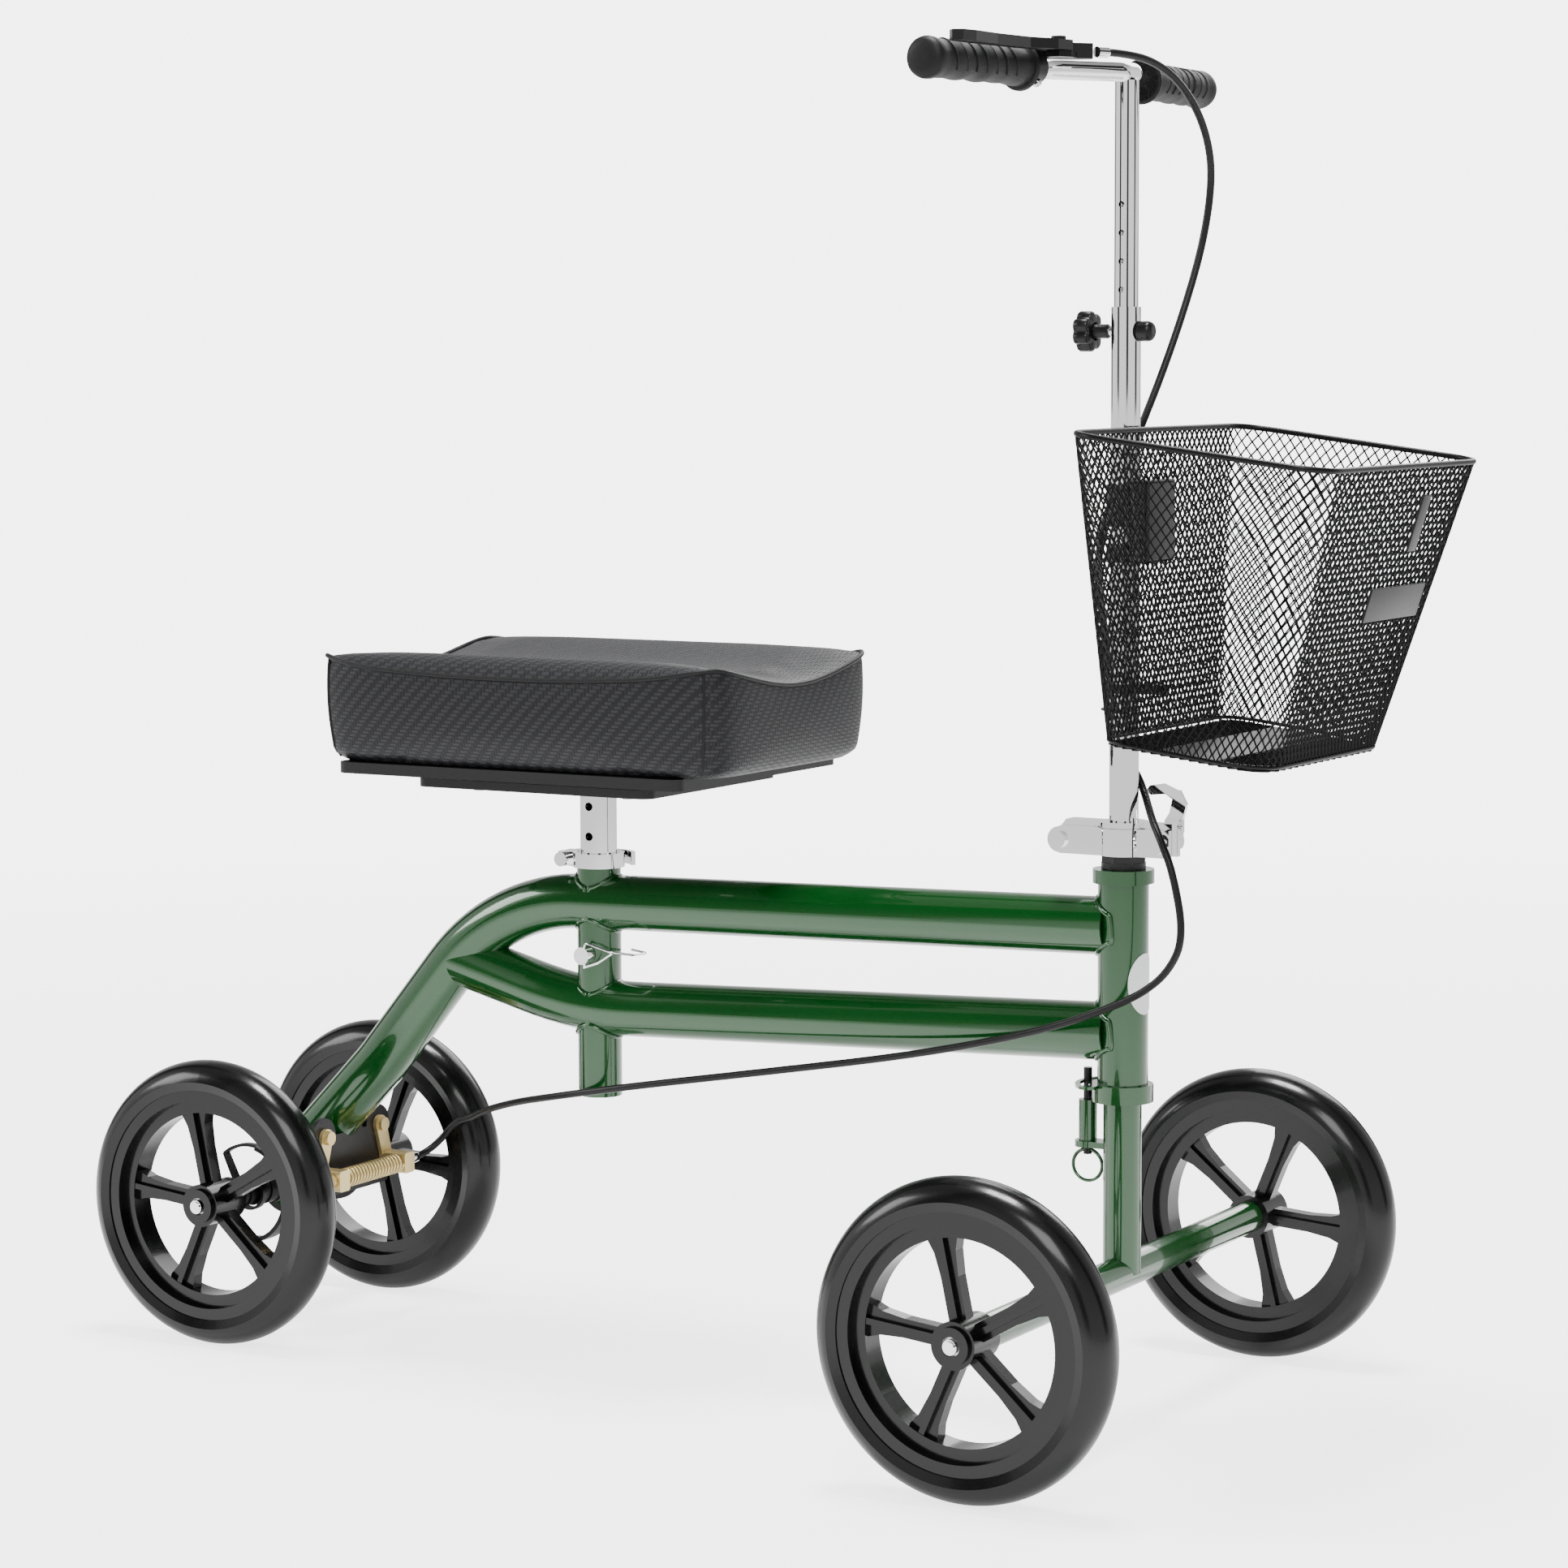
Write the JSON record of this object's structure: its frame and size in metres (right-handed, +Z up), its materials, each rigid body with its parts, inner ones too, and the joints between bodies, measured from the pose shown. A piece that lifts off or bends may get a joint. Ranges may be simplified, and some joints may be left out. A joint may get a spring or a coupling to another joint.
{
  "type": "knee scooter",
  "caption": "Steerable knee scooter with a padded knee rest on a sliding post, folding telescopic handlebar column, hand brake and front basket.",
  "frame": {"origin": "floor point straight below the steering axis", "axes": "+X forward, +Y to the rider's left, +Z up"},
  "size_m": [0.9523, 0.486, 0.894],
  "materials": {
    "tyre": "black solid rubber",
    "wheel": "glossy black moulding",
    "bright": "bright plated steel",
    "frame_paint": "deep metallic green lacquer",
    "black_steel": "black powder coat",
    "black_rubber": "soft black rubber",
    "black_plastic": "black moulded plastic and paint",
    "yellow_zinc": "yellow zinc plating",
    "green_ring": "green ring on a steel pin",
    "basket_black": "black dipped mesh",
    "pad_vinyl": "woven-look black vinyl",
    "cable_black": "black cable housing"
  },
  "bodies": {
    "frame": {"upper_tube": "frame_paint", "lower_tube": "frame_paint", "head_tube": "frame_paint", "seat_tube": "frame_paint", "rear_cross_tube": "frame_paint", "rear_axle": "bright", "rear_axle_nuts": "bright", "brake_bracket": "black_steel", "axle_sleeves": "black_rubber", "brake_band": "black_plastic", "brake_pivot_bolts": "bright", "brake_spring": "yellow_zinc", "brake_adjuster": "yellow_zinc", "seat_collar": "bright", "seat_collar_bolt": "bright", "cable_lower": "cable_black"},
    "fork": {"stem_tube": "frame_paint", "front_axle_tube": "frame_paint", "front_axle_bolts": "bright", "headset_nut": "black_steel", "clamp_base": "bright", "fold_pin": "bright", "clamp_bolt": "bright", "plunger_housing": "frame_paint", "cable_fold": "cable_black"},
    "plunger": {"plunger_pin": "green_ring"},
    "clamp_lever": {"clamp_lever": "bright"},
    "column": {"column_tube": "bright", "clamp_cap": "bright", "front_stud": "black_plastic", "basket_brackets": "black_steel"},
    "knob": {"height_knob": "black_plastic"},
    "basket": {"basket": "basket_black"},
    "handlebar": {"handlebar": "bright", "grip_right": "black_rubber", "grip_left": "black_rubber", "brake_perch": "black_plastic", "cable_adjuster": "bright", "cable_upper": "cable_black"},
    "brake_lever": {"brake_lever": "black_plastic"},
    "seat": {"seat_post": "bright", "seat_plates": "black_steel", "seat_pad": "pad_vinyl"},
    "seat_lever": {"seat_lever": "bright"},
    "seat_pin": {"seat_pin": "bright"},
    "bail": {"pin_bail": "bright"},
    "arm_right": {"brake_arm_right": "yellow_zinc"},
    "arm_left": {"brake_arm_left": "yellow_zinc"},
    "wheel_front_right": {"front_right_tyre": "tyre", "front_right_wheel": "wheel", "front_right_bearings": "bright"},
    "wheel_front_left": {"front_left_tyre": "tyre", "front_left_wheel": "wheel", "front_left_bearings": "bright"},
    "wheel_rear_right": {"rear_right_tyre": "tyre", "rear_right_wheel": "wheel", "rear_right_bearings": "bright"},
    "wheel_rear_left": {"rear_left_tyre": "tyre", "rear_left_wheel": "wheel", "rear_left_bearings": "bright"}
  },
  "joints": [
    {"name": "steer", "type": "hinge", "parent": "frame", "child": "fork", "pos_m": [0, 0, 0.29], "axis": [0, 0, 1], "range_deg": [-35, 35], "deforming": ["cable_lower"]},
    {"name": "wheel_front_right", "type": "hinge", "parent": "fork", "child": "wheel_front_right", "pos_m": [0, -0.22, 0.1015], "axis": [0, 1, 0], "continuous": true},
    {"name": "wheel_front_left", "type": "hinge", "parent": "fork", "child": "wheel_front_left", "pos_m": [0, 0.22, 0.1015], "axis": [0, 1, 0], "continuous": true},
    {"name": "wheel_rear_right", "type": "hinge", "parent": "frame", "child": "wheel_rear_right", "pos_m": [-0.661, -0.103, 0.1015], "axis": [0, 1, 0], "continuous": true},
    {"name": "wheel_rear_left", "type": "hinge", "parent": "frame", "child": "wheel_rear_left", "pos_m": [-0.661, 0.103, 0.1015], "axis": [0, 1, 0], "continuous": true},
    {"name": "fold", "type": "hinge", "parent": "fork", "child": "column", "pos_m": [-0.0406, 0, 0.385], "axis": [0, 1, 0], "range_deg": [-66, 0], "deforming": ["cable_fold"]},
    {"name": "clamp_lever", "type": "hinge", "parent": "fork", "child": "clamp_lever", "pos_m": [0.028, 0.014, 0.385], "axis": [-1, 0, 0], "range_deg": [0, 100]},
    {"name": "handlebar_height", "type": "slide", "parent": "column", "child": "handlebar", "axis": [0, 0, 1], "range_m": [-0.072, 0.126], "deforming": ["cable_upper"]},
    {"name": "height_knob", "type": "hinge", "parent": "column", "child": "knob", "pos_m": [-0.02, 0, 0.7125], "axis": [1, 0, 0], "range_deg": [0, 360]},
    {"name": "brake_lever", "type": "hinge", "parent": "handlebar", "child": "brake_lever", "pos_m": [-0.007, -0.084, 0.888], "axis": [0, 0, -1], "range_deg": [0, 4], "stiffness_Nm_per_rad": 1, "springref_deg": -5.73},
    {"name": "brake_arm_right", "type": "hinge", "parent": "frame", "child": "arm_right", "pos_m": [-0.6142, -0.033, 0.14], "axis": [1, 0, 0], "range_deg": [0, 4.4], "deforming": ["brake_spring"]},
    {"name": "brake_arm_left", "type": "hinge", "parent": "frame", "child": "arm_left", "pos_m": [-0.6142, 0.033, 0.14], "axis": [1, 0, 0], "range_deg": [-4.4, 0]},
    {"name": "seat_height", "type": "slide", "parent": "frame", "child": "seat", "axis": [0, 0, 1], "range_m": [-0.046, 0.051]},
    {"name": "seat_lever", "type": "hinge", "parent": "frame", "child": "seat_lever", "pos_m": [-0.425, 0.012, 0.35], "axis": [0, 0, 1], "range_deg": [0, 120]},
    {"name": "pin_slide", "type": "slide", "parent": "frame", "child": "seat_pin", "axis": [0, -1, 0], "range_m": [0, 0.042]},
    {"name": "bail", "type": "hinge", "parent": "seat_pin", "child": "bail", "pos_m": [-0.402, -0.0197, 0.285], "axis": [0, 0, 1], "range_deg": [-110, 0]},
    {"name": "plunger", "type": "slide", "parent": "fork", "child": "plunger", "axis": [0, 0, 1], "range_m": [-0.016, 0], "stiffness_N_per_m": 300, "springref_m": 0.004},
    {"name": "basket_lift", "type": "slide", "parent": "column", "child": "basket", "axis": [0, 0, 1], "range_m": [0, 0.06]}
  ],
  "couplings": [
    {"joint": "brake_arm_right", "follows": "brake_lever", "ratio": 1.1},
    {"joint": "brake_arm_left", "follows": "brake_lever", "ratio": -1.1},
    {"joint": "bail", "follows": "pin_slide", "rad_per_m": -45}
  ]
}
